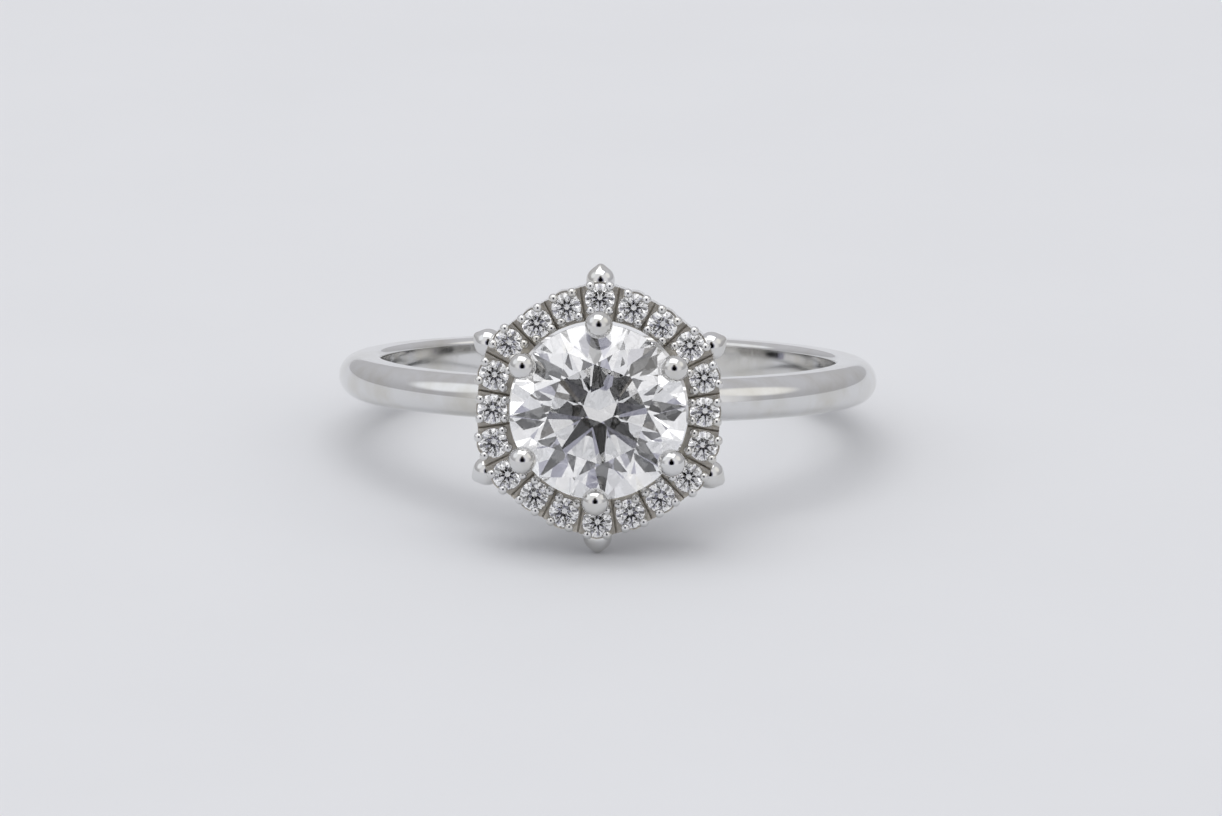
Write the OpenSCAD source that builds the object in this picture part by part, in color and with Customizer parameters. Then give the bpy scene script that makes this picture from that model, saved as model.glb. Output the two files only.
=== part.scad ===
// Engagement ring: a round brilliant in six ball-tipped claws, inside a softly hexagonal halo of
// small brilliants with a petal tip at each corner, on a plain rounded shank.
// Frame: origin at the centre of the finger hole, +Z along the finger, and -Y out through the
// centre stone. Sizes are in millimetres. The head is drawn in its own frame, with +z out
// through the stone's table and z = 0 at the middle of its girdle, and on_head() places it.

/* [Shank] */
// Inside diameter of the shank, which is the ring size
finger_d = 17.35; // [16.5:0.05:18.2]
// Thickness of the shank from the finger to its crest
shank_t = 1.6; // [1.5:0.05:1.9]
// Width of the shank along the finger
shank_w = 1.6; // [1.5:0.05:1.7]
// Rounding of the two inner edges, for comfort
comfort_r = 0.25; // [0.2:0.05:0.3]
// Depth of the flat filed in the crest for the head
seat_cut = 0.225; // [0.2:0.005:0.25]

/* [Centre stone] */
// Girdle diameter of the centre stone: 6.5 is one carat
stone_d = 6.5; // [6.4:0.05:6.5]
// Table width as a share of the girdle diameter
table_share = 0.57; // [0.54:0.01:0.60]
// Slope of the crown mains, in degrees
crown_angle = 34.5; // [33.5:0.5:35.5]
// Slope of the pavilion mains, in degrees
pavilion_angle = 40.8; // [40.4:0.2:41.2]
// Girdle thickness as a share of the girdle diameter
girdle_share = 0.03; // [0.025:0.005:0.035]
// Turn of the centre stone in its setting, in degrees
stone_turn = 4; // [0:1:8]
// Height of the girdle above the centre of the finger hole
girdle_height = 13.6; // [13.55:0.05:13.8]

/* [Halo] */
// Number of small stones in the halo
melee_count = 20; // [20]
// Girdle diameter of one small stone
melee_d = 1.1; // [1.05:0.01:1.1]
// Mean radius of the row of small stones
halo_r = 4.04; // [4.02:0.01:4.06]
// How far the row swings out at the six corners, and in at the sides
halo_swing = 0.12; // [0.08:0.01:0.14]
// Radius of the opening round the centre stone
halo_bore_r = 3.32; // [3.30:0.01:3.33]
// Height of the small stones' girdles, in the head frame
melee_z = -0.5; // [-0.55:0.01:-0.48]
// Thickness of the halo plate
plate_t = 0.93; // [0.8:0.01:1.0]
// Width of the cut between two neighbouring small stones
groove_w = 0.1; // [0.08:0.01:0.12]

/* [Claws and petals] */
// Number of claws, and of petals
corner_count = 6; // [6]
// Radius of the claw wire
claw_r = 0.3; // [0.28:0.01:0.32]
// Turn of each claw from its corner, as bent by hand, in degrees
claw_turns = [0, 1.2, -3.2, -1, 2.7, -1.2]; // [-4:0.1:4]
// Radius of the ball on a claw
ball_r = 0.51; // [0.48:0.01:0.54]
// Width of a petal across its length
petal_w = 0.56; // [0.5:0.02:0.58]
// Thickness of a petal
petal_t = 0.45; // [0.4:0.01:0.5]
// Distance of a petal's point from the stone's axis
petal_reach = 5.38; // [5.3:0.01:5.4]

/* [Hidden] */
$fn = 64;
fit = 0.005;          // room left in a soldered joint
far = 30;             // longer than the ring in every direction
corner_step = 360 / corner_count;
melee_step = 360 / melee_count;
first_corner = 90;    // a corner and a small stone lie at the top of the head

finger_r = finger_d / 2;
crest_r = finger_r + shank_t;
seat_r = crest_r - seat_cut;

stone_r = stone_d / 2;
girdle_half = stone_d * girdle_share / 2;
melee_r = melee_d / 2;
melee_girdle_half = melee_d * girdle_share / 2;

// The brilliant cut's own proportions
mains = 8;                  // crown mains, and pavilion mains
main_step = 360 / mains;
star_share = 0.5;           // how far the stars reach from the table edge to the girdle
lower_share = 0.77;         // how far the lower halves reach from the girdle to the culet

// Head levels, in the head frame
seat_z = seat_r - girdle_height;      // top of the shank's flat
base_t = 0.45;
base_z = seat_z + base_t;             // top of the base disc
base_r = 1.5;
peg_r = 0.4;
plate_top = melee_z - 0.02;
plate_bottom = plate_top - plate_t;
seat_r_melee = melee_r + 0.01;
azure_r = 0.3;                        // drilled hole behind each small stone
melee_wall = 0.06;                    // metal outside a small stone
side_wall = 0.57;                     // from the row of small stones to the halo's bowed sides

// Claw wire: foot, knee and upright part, as [distance from the axis, height]
claw_foot = [1.25, base_z - 0.05];
claw_knee = [3.3, -1.0];
knee_swell = 0.02;                    // the bend is a little fuller than the wire
claw_top_z = 0.45;
ball_at = [3.27, 0.6];

// Gallery rail that the claws are notched for
rail_r = 2.06;
rail_z = -2.0;
rail_wire = 0.22;

// Petal strut: an arc in the plane through the axis
petal_from = [1.45, base_z - 0.15];
petal_to = [4.92, -1.3];
petal_start_slope = 8;                // degrees above level where it leaves the base
nub_r = 0.53;
nub_at = [4.76, -1.24];
point_r = 0.2;                        // rounding of a petal's blunt point

// Bead prongs, four on each small stone
bead_r = 0.19;
bead_from_stone = 0.57;
outer_bead_angle = 39;
inner_bead_angle = 36;
bead_sink = 0.01;                     // bead centre below the small stones' girdle

// Names such as halo_stone_07
function two_digits(n) = n < 10 ? str("0", n) : str(n);
claw_names = [for (i = [1:corner_count]) str("claw_", i)];
petal_names = [for (i = [1:corner_count]) str("corner_petal_", i)];
melee_names = [for (i = [1:melee_count]) str("halo_stone_", two_digits(i))];

function corner_angle(i) = first_corner - i * corner_step;
function claw_angle(i) = corner_angle(i) + claw_turns[i];
function melee_angle(i) = first_corner - i * melee_step;
// The row of small stones swings out to each corner
function melee_distance(a) = halo_r + halo_swing * cos(corner_count * (a - first_corner));

module on_head() {
    translate([0, -girdle_height, 0])
        rotate([90, 0, 0])
            children();
}

module on_melee(i) {
    a = melee_angle(i);
    rotate([0, 0, a])
        translate([melee_distance(a), 0, melee_z])
            children();
}

// ---- Brilliant cut ----

// A ring of count points at distance r and height z, the first at azimuth start
function ring_points(count, start, r, z) =
    [for (k = [0:count - 1])
        let (a = start + k * 360 / count) [r * cos(a), r * sin(a), z]];

// A round brilliant of girdle radius r and half girdle thickness g, with its mains at 0 degrees.
// The facets are carried on past the girdle, which is then turned round.
module brilliant(r, g) {
    half_step = main_step / 2;
    quarter_step = main_step / 4;
    table_r = r * table_share;
    crown_h = (r - table_r) * tan(crown_angle);
    table_edge = table_r * cos(half_step);
    star_r = table_edge + star_share * (r - table_edge);
    star_h = (r - star_r * cos(half_step)) * tan(crown_angle);
    lower_r = r * (1 - lower_share);
    lower_h = (r - lower_r * cos(half_step)) * tan(pavilion_angle);
    past = r * (1.002 / cos(quarter_step) - 1);
    past_up = past * star_h / (r - star_r);
    past_down = past * lower_h / (r - lower_r);
    points = concat(
        ring_points(mains, 0, table_r, g + crown_h),
        ring_points(mains, half_step, star_r, g + star_h),
        ring_points(2 * mains, 0, r + past, g - past_up),
        ring_points(2 * mains, 0, r + past, past_down - g),
        ring_points(mains, half_step, lower_r, -g - lower_h),
        [[0, 0, -g - r * tan(pavilion_angle)]]);
    intersection() {
        hull()
            polyhedron(points = points, faces = [[for (k = [0:len(points) - 1]) k]]);
        translate([0, 0, -2 * r])
            cylinder(h = 4 * r, r = r);
    }
}

// A turned envelope that just holds the same brilliant, grown by gap, for cutting its seats
module stone_envelope(r, g, gap) {
    half_step = main_step / 2;
    table_r = r * table_share;
    table_edge = table_r * cos(half_step);
    star_r = table_edge + star_share * (r - table_edge);
    star_h = (r - star_r * cos(half_step)) * tan(crown_angle);
    lower_r = r * (1 - lower_share);
    rotate_extrude()
        polygon([
            [0, -g - gap - r * tan(pavilion_angle)],
            [lower_r + gap, -g - gap - (r - lower_r * cos(half_step)) * tan(pavilion_angle)],
            [r + gap, -g - gap],
            [r + gap, g + gap],
            [star_r + gap, g + gap + star_h],
            [table_r + gap, g + gap + (r - table_r) * tan(crown_angle)],
            [0, g + gap + (r - table_r) * tan(crown_angle)]
        ]);
}

module centre_stone() {
    color([0.93, 0.95, 0.97, 0.45])
        on_head()
            rotate([0, 0, first_corner + stone_turn])
                brilliant(stone_r, girdle_half);
}

module halo_stone(i) {
    color([0.90, 0.92, 0.95, 0.5])
        on_head()
            on_melee(i)
                brilliant(melee_r, melee_girdle_half);
}

// ---- Shank ----

// Half-round section with a flat inside and two rounded inner edges
module shank_section() {
    half_w = shank_w / 2;
    dome_r = crest_r - half_w;
    translate([dome_r, 0])
        circle(r = half_w);
    for (side = [-1, 1])
        translate([finger_r + comfort_r, side * (half_w - comfort_r)])
            circle(r = comfort_r);
    translate([finger_r + comfort_r, -half_w])
        square([dome_r - finger_r - comfort_r, shank_w]);
    translate([finger_r, comfort_r - half_w])
        square([dome_r - finger_r, shank_w - 2 * comfort_r]);
}

module shank() {
    color("gainsboro")
        difference() {
            rotate_extrude($fn = 180)
                shank_section();
            on_head() {
                translate([-far / 2, -far / 2, seat_z])
                    cube([far, far, far / 2]);
                translate([0, 0, finger_r - girdle_height - 1])
                    cylinder(h = shank_t + 2, r = peg_r + fit);
            }
        }
}

// Disc that carries the claws, with the peg that goes through the shank and ends flush inside it
module head_base() {
    color("silver")
        difference() {
            on_head() {
                translate([0, 0, seat_z])
                    cylinder(h = base_t, r = base_r);
                translate([0, 0, finger_r - girdle_height - 0.5])
                    cylinder(h = seat_z - finger_r + girdle_height + 0.5 + base_t / 2, r = peg_r);
            }
            cylinder(h = far, r = finger_r, center = true, $fn = 180);
        }
}

// ---- Claws ----

// Wire between two points in the plane through the axis, given as [distance, height]
module leg(from, to, r) {
    run = to - from;
    translate([from[0], 0, from[1]])
        rotate([0, atan2(run[0], run[1]), 0])
            cylinder(h = norm(run), r = r);
}

module claw_wire(gap) {
    leg(claw_foot, claw_knee, claw_r + gap);
    translate([claw_knee[0], 0, claw_knee[1]])
        sphere(r = claw_r + knee_swell + gap);
    leg(claw_knee, [claw_knee[0], claw_top_z], claw_r + gap);
}

module base_void() {
    translate([0, 0, base_z - far / 2])
        cylinder(h = far / 2 + fit, r = base_r + fit);
}

module rail_shape(gap) {
    translate([0, 0, rail_z])
        rotate_extrude($fn = 128)
            translate([rail_r, 0])
                circle(r = rail_wire + gap);
}

module claw(i) {
    color("gainsboro")
        on_head()
            difference() {
                rotate([0, 0, claw_angle(i)]) {
                    claw_wire(0);
                    translate([ball_at[0], 0, ball_at[1]])
                        sphere(r = ball_r);
                }
                stone_envelope(stone_r, girdle_half, fit);
                rail_shape(fit);
                base_void();
            }
}

module gallery_rail() {
    color("silver")
        on_head()
            rail_shape(0);
}

// ---- Halo ----

// Soft hexagon: six wide arcs whose middles are side_r from the axis, and whose corners
// are about side_bow further out
module soft_hexagon(side_r) {
    arc_shift = 2.85;   // moves each arc's centre past the axis, which sets how full the hexagon is
    intersection_for (k = [0:corner_count - 1])
        rotate([0, 0, first_corner + (k + 0.5) * corner_step])
            translate([-arc_shift, 0])
                circle(r = side_r + arc_shift, $fn = 180);
}

module halo_outline(gap) {
    soft_hexagon(halo_r - halo_swing + side_wall + gap);
    for (i = [0:melee_count - 1]) {
        a = melee_angle(i);
        rotate([0, 0, a])
            translate([melee_distance(a), 0])
                circle(r = melee_r + melee_wall + gap);
    }
}

// Countersunk seat with its drilled back, in the small stone's own frame
module melee_seat() {
    cone_h = (seat_r_melee - azure_r) * tan(pavilion_angle);
    cone_top = -melee_girdle_half - fit;
    translate([0, 0, cone_top])
        cylinder(h = 1, r = seat_r_melee);
    translate([0, 0, cone_top - cone_h])
        cylinder(h = cone_h, r1 = azure_r, r2 = seat_r_melee);
    translate([0, 0, cone_top - plate_t - 0.5])
        cylinder(h = plate_t + 0.5, r = azure_r);
}

module halo_plate() {
    groove_depth = 0.3;
    color("silver")
        on_head()
            difference() {
                translate([0, 0, plate_bottom])
                    linear_extrude(plate_t)
                        halo_outline(0);
                translate([0, 0, plate_bottom - 1])
                    cylinder(h = plate_t + 2, r = halo_bore_r, $fn = 128);
                for (i = [0:melee_count - 1])
                    on_melee(i)
                        melee_seat();
                for (i = [0:melee_count - 1])
                    rotate([0, 0, melee_angle(i + 0.5)])
                        translate([halo_bore_r - 0.5, -groove_w / 2, plate_top - groove_depth])
                            cube([2.5, groove_w, 1]);
                for (i = [0:corner_count - 1])
                    rotate([0, 0, claw_angle(i)])
                        claw_wire(fit);
            }
}

// One pair of bead prongs on one side of each small stone; toward is 0 outside and 180 inside
module bead_row(toward, spread) {
    for (i = [0:melee_count - 1])
        on_melee(i)
            difference() {
                for (side = [-1, 1])
                    rotate([0, 0, toward + side * spread])
                        translate([bead_from_stone, 0, -bead_sink])
                            sphere(r = bead_r);
                stone_envelope(melee_r, melee_girdle_half, fit);
                translate([-1, -1, plate_top - melee_z - 1 + fit])
                    cube([2, 2, 1]);
            }
}

module outer_beads() {
    color("whitesmoke")
        on_head()
            bead_row(0, outer_bead_angle);
}

module inner_beads() {
    color("whitesmoke")
        on_head()
            difference() {
                bead_row(180, inner_bead_angle);
                for (i = [0:corner_count - 1])
                    rotate([0, 0, claw_angle(i)])
                        claw_wire(fit);
            }
}

// ---- Corner petals ----

// Strip along an arc from petal_from to petal_to, drawn in the plane through the axis
module petal_strip() {
    run = petal_to - petal_from;
    chord_slope = atan2(run[1], run[0]);
    half_sweep = chord_slope - petal_start_slope;
    arc_r = norm(run) / (2 * sin(half_sweep));
    centre = petal_from + arc_r * [-sin(petal_start_slope), cos(petal_start_slope)];
    out = arc_r * 2;
    start = petal_start_slope - 90;
    intersection() {
        translate(centre)
            difference() {
                circle(r = arc_r + petal_t / 2, $fn = 180);
                circle(r = arc_r - petal_t / 2, $fn = 180);
            }
        translate(centre)
            polygon([
                [0, 0],
                out * [cos(start), sin(start)],
                out * [cos(start + half_sweep), sin(start + half_sweep)],
                out * [cos(start + 2 * half_sweep), sin(start + 2 * half_sweep)]
            ]);
    }
}

// Rounded nub with a blunt point, at the petal's outer end, turned about the petal's own axis
module petal_nub() {
    neck = petal_reach - point_r - nub_at[0];
    lean = asin((nub_r - point_r) / neck);
    inside = 0.995;   // the flank starts and ends just inside the two rounds
    across = inside * cos(lean);
    along = inside * sin(lean);
    translate([nub_at[0], 0, nub_at[1]])
        rotate([0, 90, 0])
            rotate_extrude()
                intersection() {
                    union() {
                        circle(r = nub_r);
                        translate([0, neck])
                            circle(r = point_r);
                        polygon([
                            [0, 0],
                            nub_r * [across, along],
                            [point_r * across, neck + point_r * along],
                            [0, neck]
                        ]);
                    }
                    translate([0, -far / 2])
                        square([far / 2, far]);
                }
}

module corner_petal(i) {
    color("gainsboro")
        on_head()
            difference() {
                rotate([0, 0, corner_angle(i)]) {
                    rotate([90, 0, 0])
                        linear_extrude(petal_w, center = true)
                            petal_strip();
                    petal_nub();
                }
                translate([0, 0, plate_bottom - fit])
                    linear_extrude(plate_t + 2)
                        halo_outline(fit);
                rotate([0, 0, claw_angle(i)])
                    claw_wire(fit);
                base_void();
            }
}

shank();
head_base();
gallery_rail();
halo_plate();
outer_beads();
inner_beads();
centre_stone();
for (i = [0:corner_count - 1]) {
    claw(i);
    corner_petal(i);
}
for (i = [0:melee_count - 1])
    halo_stone(i);
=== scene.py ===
"""White gold halo engagement ring: the pieces that are seen, built over the ring's CAD frame.

Every piece is shaped in millimetres, in the head's own frame where it belongs to the head: x and
y across the stone's table, z out through it, and z = 0 at the middle of the centre stone's girdle.
It is then put in its place and brought to metres.
"""

import math

import bmesh
import bpy
from bpy.props import FloatProperty, FloatVectorProperty, IntProperty, PointerProperty
from mathutils import Matrix, Vector


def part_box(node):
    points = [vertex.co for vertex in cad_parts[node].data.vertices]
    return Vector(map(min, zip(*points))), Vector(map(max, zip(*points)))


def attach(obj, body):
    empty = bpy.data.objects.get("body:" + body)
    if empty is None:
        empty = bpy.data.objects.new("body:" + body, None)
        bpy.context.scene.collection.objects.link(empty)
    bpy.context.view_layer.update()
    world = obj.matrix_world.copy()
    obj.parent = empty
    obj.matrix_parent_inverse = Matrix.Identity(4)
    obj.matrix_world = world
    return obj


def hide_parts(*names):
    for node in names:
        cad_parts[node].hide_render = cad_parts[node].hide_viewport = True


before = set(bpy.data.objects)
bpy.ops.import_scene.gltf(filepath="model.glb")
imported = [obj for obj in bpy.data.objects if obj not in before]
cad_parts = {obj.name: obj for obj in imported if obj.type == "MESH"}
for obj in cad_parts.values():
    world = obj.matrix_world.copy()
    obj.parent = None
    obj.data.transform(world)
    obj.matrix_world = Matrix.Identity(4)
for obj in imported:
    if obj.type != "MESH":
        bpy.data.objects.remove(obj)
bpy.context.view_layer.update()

bl_info = {
    "name": "Halo Engagement Ring",
    "version": (1, 0, 0),
    "blender": (4, 5, 0),
    "location": "3D View > Sidebar > Ring",
    "description": "Builds a white gold halo ring piece by piece over its CAD frame",
    "category": "Add Mesh",
}

MM = 0.001
CORNERS = 6
HALO_STONES = 20
FIRST_CORNER = 90.0
MAINS = 8

# Lengths below are in millimetres, and places are (x, y, z) in the head's own frame.
SOLDER_GAP = 0.005
SEAT_CUT = 0.225            # depth of the flat filed in the shank's crest
BASE_EDGE = 0.07            # rounding of the base disc's two edges
PEG_R = 0.4
PEG_LENGTH = 2.0            # before it is trimmed flush with the inside of the shank
RAIL_Z = -2.0

HEXAGON_BOW = 2.85          # how far each bowed side's centre lies past the stone's axis
SIDE_WALL = 0.57            # from the row of small stones to the halo's bowed sides
SCALLOP_WALL = 0.06         # metal outside a small stone
PLATE_DROP = 0.02           # from the small stones' girdles down to the plate's face
BROKEN_EDGE = 0.09
LIP = 0.05                  # bevel of the opening round the centre stone
GRAVER_REACH = 0.25         # how far below its face the plate is cut bright
SEAT_GAP = 0.01             # room round a small stone in its seat
AZURE_R = 0.3               # drilled hole behind each small stone
GROOVE_DEPTH = 0.22
GROOVE_LENGTH = 2.17
GROOVE_START = 0.4          # how far a groove's bar reaches into the opening
GROOVE_ROOT = 0.25          # width of a groove at its bottom, as a share of its width

BEAD_FROM_STONE = 0.57
BEAD_DROP = 0.01
OUTER_BEAD_SPREAD = 39      # degrees to either side of the row's own direction
INNER_BEAD_SPREAD = 36

# degrees that each claw stands off its corner, as bent by hand
CLAW_TURNS = (0, 1.2, -3.2, -1, 2.7, -1.2)
CLAW_FOOT_X = 1.25
CLAW_SINK = 0.05            # depth of a claw's foot in the base disc
CLAW_KNEE = (3.3, 0, -1.0)
CLAW_BEND_R = 0.6
CLAW_TOP = 0.42
BALL_AT = (3.27, 0, 0.6)
STONE_CLEARANCE = 0.03      # room for the centre stone in its claws

PETAL_START_X = 1.45
PETAL_SINK = 0.15           # depth of a petal's foot below the base disc's top
PETAL_END = (4.92, 0, -1.3)
PETAL_SLOPE = math.radians(8)
PETAL_EDGE = 0.17           # rounding of the strut's four edges
NUB_R = 0.53
NUB_AT = (4.76, 0, -1.24)
POINT_R = 0.2

# The floor touches the lower petal's nose and the back of the shank, here in the ring's frame.
NOSE_BEHIND_GIRDLE = 1.12
HEEL_AT = (0, 9.475, -0.8)
FLOOR_GAP = 0.02

# The softbox, in metres
SOFTBOX_AT = (-0.04, -0.14, 0.58)
SOFTBOX_AIM = (0, -0.012, 0)
SOFTBOX_SIZE = (0.62, 0.44)
LIGHT_TURNS = 24            # a brilliant returns light after many turns inside it


def linear(hex_colour):
    """An sRGB hex value as the linear colour that Blender's sockets take."""
    parts = [int(hex_colour[i:i + 2], 16) / 255 for i in (1, 3, 5)]
    return [c / 12.92 if c <= 0.04045 else ((c + 0.055) / 1.055) ** 2.4 for c in parts]


def size(name, description, mm):
    return FloatProperty(name=name, description=description, default=mm * MM, unit="LENGTH", precision=5)


def share(name, description, value):
    return FloatProperty(name=name, description=description, default=value)


def angle(name, description, degrees):
    return FloatProperty(name=name, description=description, default=math.radians(degrees), subtype="ANGLE")


def colour(name, description, hex_colour):
    return FloatVectorProperty(
        name=name, description=description, default=linear(hex_colour), subtype="COLOR", size=3, min=0, max=1
    )


def corner_of(node, side, axis):
    """One face of a CAD node's box, in millimetres."""
    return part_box(node)[side][axis] / MM


# ---------------------------------------------------------------- settings

class ShankSizes(bpy.types.PropertyGroup):
    crest_r: size("Crest radius", "From the finger's axis to the crest of the shank", corner_of("shank", 1, 0))
    finger_r: size("Finger radius", "From the finger's axis to the inside of the shank", 8.675)
    width: size("Width", "Width of the shank along the finger", corner_of("shank", 1, 2) * 2)
    comfort_r: size("Comfort rounding", "Rounding of the two inner edges", 0.25)
    steps: IntProperty(name="Steps", description="Steps round the shank", default=288, min=48)


class StoneSizes(bpy.types.PropertyGroup):
    centre_d: size("Centre stone", "Girdle diameter of the centre stone", corner_of("centre_stone", 1, 0) * 2)
    melee_d: size("Small stones", "Girdle diameter of each small stone", 1.1)
    girdle_height: size("Girdle height", "From the finger's axis to the centre stone's girdle", 13.6)
    melee_z: size("Small stone level", "Girdles of the small stones below the centre stone's girdle", -0.5)
    table: share("Table", "Table width as a share of the girdle", 0.57)
    girdle: share("Girdle", "Girdle thickness as a share of its diameter", 0.03)
    star: share("Stars", "Reach of the star facets toward the girdle", 0.5)
    lower: share("Lower halves", "Reach of the lower halves to the culet", 0.77)
    crown: angle("Crown angle", "Slope of the crown mains", 34.5)
    pavilion: angle("Pavilion angle", "Slope of the pavilion mains", 40.8)
    turn: angle("Turn", "Turn of the centre stone in its claws", 4)


class HeadSizes(bpy.types.PropertyGroup):
    halo_r: size("Halo row", "Mean radius of the row of small stones", 4.04)
    halo_swing: size("Halo swing", "How far the row swings out at each corner", 0.12)
    halo_bore_r: size("Halo opening", "Radius of the opening round the centre stone", 3.32)
    plate_t: size("Plate thickness", "Thickness of the halo plate", 0.93)
    groove: size("Grooves", "Width of the cut between two small stones", 0.18)
    bead_r: size("Beads", "Radius of a bead prong", 0.19)
    claw_r: size("Claw wire", "Radius of the claw wire", 0.3)
    ball_r: size("Claw ball", "Radius of the ball on a claw", 0.51)
    rail_r: size("Rail", "Radius of the gallery rail's middle", 2.06)
    rail_wire: size("Rail wire", "Half the thickness of the gallery rail", 0.22)
    base_r: size("Base", "Radius of the base disc", 1.5)
    base_t: size("Base thickness", "Thickness of the base disc", 0.45)
    petal_w: size("Petal width", "Width of a petal's strut", 0.56)
    petal_t: size("Petal thickness", "Thickness of a petal's strut", 0.45)
    petal_reach: size("Petal reach", "From the stone's axis to a petal's point", 5.38)


class Finishes(bpy.types.PropertyGroup):
    gold: colour("White gold", "Rhodium-plated white gold at its brightest", "#E0E0E0")
    gold_worn: colour("Worn white gold", "Where the plating is rubbed and a little warmer", "#D3D1CB")
    # the cut gold's darker, warmer colour is partly unplated gold and partly painted shade with a painted warm
    # reflection, laid on the halo plate's face
    gold_cut_and_painted_shade: colour("Cut white gold", "Unplated gold that a graver has laid bare", "#CDC4B4")
    floor: colour("Floor", "Pale card under the ring", "#E3E4E6")
    backdrop: colour("Backdrop", "What lies past the floor", "#DEE0E4")


class Studio(bpy.types.PropertyGroup):
    azimuth: angle("Azimuth", "Camera round the ring", 1.42)
    elevation: angle("Elevation", "Camera above the shank's plane", 5.6)
    roll: angle("Roll", "Camera about its own axis", 0.69)
    distance: size("Distance", "From the camera to the point it looks at", 372.8)
    lens: FloatProperty(name="Lens", description="Focal length in millimetres", default=287.2, unit="CAMERA")
    aim_x: size("Aim across", "Point the camera looks at, across the ring", 0.134)
    aim_z: size("Aim up", "Point the camera looks at, along the finger", -1.183)
    key: FloatProperty(name="Softbox", description="Power of the overhead softbox", default=1.22, unit="POWER")
    room: share("Room", "Strength of the room's own light", 1.0)


def settings():
    return bpy.context.scene.halo_ring


class RingSettings(bpy.types.PropertyGroup):
    shank: PointerProperty(type=ShankSizes)
    stones: PointerProperty(type=StoneSizes)
    head: PointerProperty(type=HeadSizes)
    finishes: PointerProperty(type=Finishes)
    studio: PointerProperty(type=Studio)


# ---------------------------------------------------------------- modelling by hand, in code

def mm(metres):
    """A size from the settings, in millimetres."""
    return metres / MM


def clear_selection():
    """Leave edit mode, if a piece is in it, and select nothing."""
    active = bpy.context.view_layer.objects.active
    if active and active.mode != "OBJECT":
        bpy.ops.object.mode_set(mode="OBJECT")
    bpy.ops.object.select_all(action="DESELECT")


def select_only(*objects):
    clear_selection()
    for item in objects:
        item.select_set(True)
    bpy.context.view_layer.objects.active = objects[0]


def edit(piece):
    """Open a piece in edit mode with all of it selected."""
    select_only(piece)
    bpy.ops.object.mode_set(mode="EDIT")
    bpy.ops.mesh.select_mode(type="VERT")
    bpy.ops.mesh.select_all(action="SELECT")


def pick(piece, wanted):
    """In edit mode, select the vertices whose place passes the test."""
    mesh = bmesh.from_edit_mesh(piece.data)
    for vertex in mesh.verts:
        vertex.select_set(False)
    for vertex in mesh.verts:
        if wanted(vertex.co):
            vertex.select_set(True)
    mesh.select_flush(True)
    bmesh.update_edit_mesh(piece.data)


def leave_edit():
    bpy.ops.object.mode_set(mode="OBJECT")


def apply_place(piece):
    """Put a piece's place, turn and stretch into its mesh."""
    select_only(piece)
    bpy.ops.object.transform_apply(location=True, rotation=True, scale=True)


def primitive(add, stretch=(1, 1, 1), **options):
    """Add one primitive with nothing else selected, stretch it along its own axes and apply its place."""
    clear_selection()
    add(**options)
    piece = bpy.context.active_object
    piece.scale = stretch
    apply_place(piece)
    return piece


def duplicate(piece, matrix):
    """A copy with its own mesh, carried by matrix."""
    other = piece.copy()
    other.data = piece.data.copy()
    bpy.context.collection.objects.link(other)
    other.matrix_world = matrix
    apply_place(other)
    return other


def join(pieces):
    """Join pieces into the first of them."""
    select_only(*pieces)
    bpy.ops.object.join()
    return bpy.context.view_layer.objects.active


def boolean(piece, tool, operation):
    """Apply one boolean and take the tool away."""
    select_only(piece)
    step = piece.modifiers.new("Boolean", "BOOLEAN")
    step.operation = operation
    step.solver = "EXACT"
    step.object = tool
    step.use_self = operation == "UNION"
    bpy.ops.object.modifier_apply(modifier=step.name)
    bpy.data.objects.remove(tool, do_unlink=True)
    if not piece.data.polygons:
        raise RuntimeError(f"nothing is left of {piece.name} after {operation}")


def tidy_mesh(piece, gap=1e-4):
    """Merge doubles and turn every face outwards."""
    edit(piece)
    bpy.ops.mesh.remove_doubles(threshold=gap)
    bpy.ops.mesh.normals_make_consistent(inside=False)
    leave_edit()


def turn(degrees):
    """A turn about the head's own z."""
    return Matrix.Rotation(math.radians(degrees), 4, "Z")


def on_head():
    """From the head's own frame in millimetres to the ring's frame in metres."""
    height = mm(settings().stones.girdle_height)
    return Matrix.Scale(MM, 4) @ Matrix.Translation((0, -height, 0)) @ Matrix.Rotation(math.pi / 2, 4, "X")


def finish_piece(piece, name, nodes, materials, smooth=None):
    """Name a piece, give it its materials and shading, hang it on the root body and hide the CAD nodes it stands
    for.
    """
    piece.name = name
    piece.data.name = name
    piece.data.materials.clear()
    for material in materials:
        piece.data.materials.append(material)
    select_only(piece)
    if smooth is None:
        bpy.ops.object.shade_flat()
    else:
        bpy.ops.object.shade_smooth_by_angle(angle=math.radians(smooth))
    clear_selection()
    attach(piece, "root")
    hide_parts(*nodes)


def turned_band(inner_r, outer_r, width, inner_round, outer_round, steps):
    """A band about z: a flat section with rounded corners, spun once round."""
    middle_r = (inner_r + outer_r) / 2
    band = primitive(bpy.ops.mesh.primitive_plane_add, (outer_r - inner_r, width, 1), size=1,
                     location=(middle_r, 0, 0), rotation=(math.pi / 2, 0, 0))
    edit(band)
    for outer, rounding in ((True, outer_round), (False, inner_round)):
        pick(band, lambda co: (co.x > middle_r) == outer)
        bpy.ops.mesh.bevel(offset=rounding, segments=12, affect="VERTICES", clamp_overlap=False)
    bpy.ops.mesh.select_all(action="SELECT")
    bpy.ops.mesh.remove_doubles(threshold=1e-4)
    bpy.ops.mesh.delete(type="ONLY_FACE")
    bpy.ops.mesh.select_all(action="SELECT")
    bpy.ops.mesh.spin(steps=steps, angle=2 * math.pi, center=(0, 0, 0), axis=(0, 0, 1))
    leave_edit()
    tidy_mesh(band)
    return band


# ---------------------------------------------------------------- materials

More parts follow.
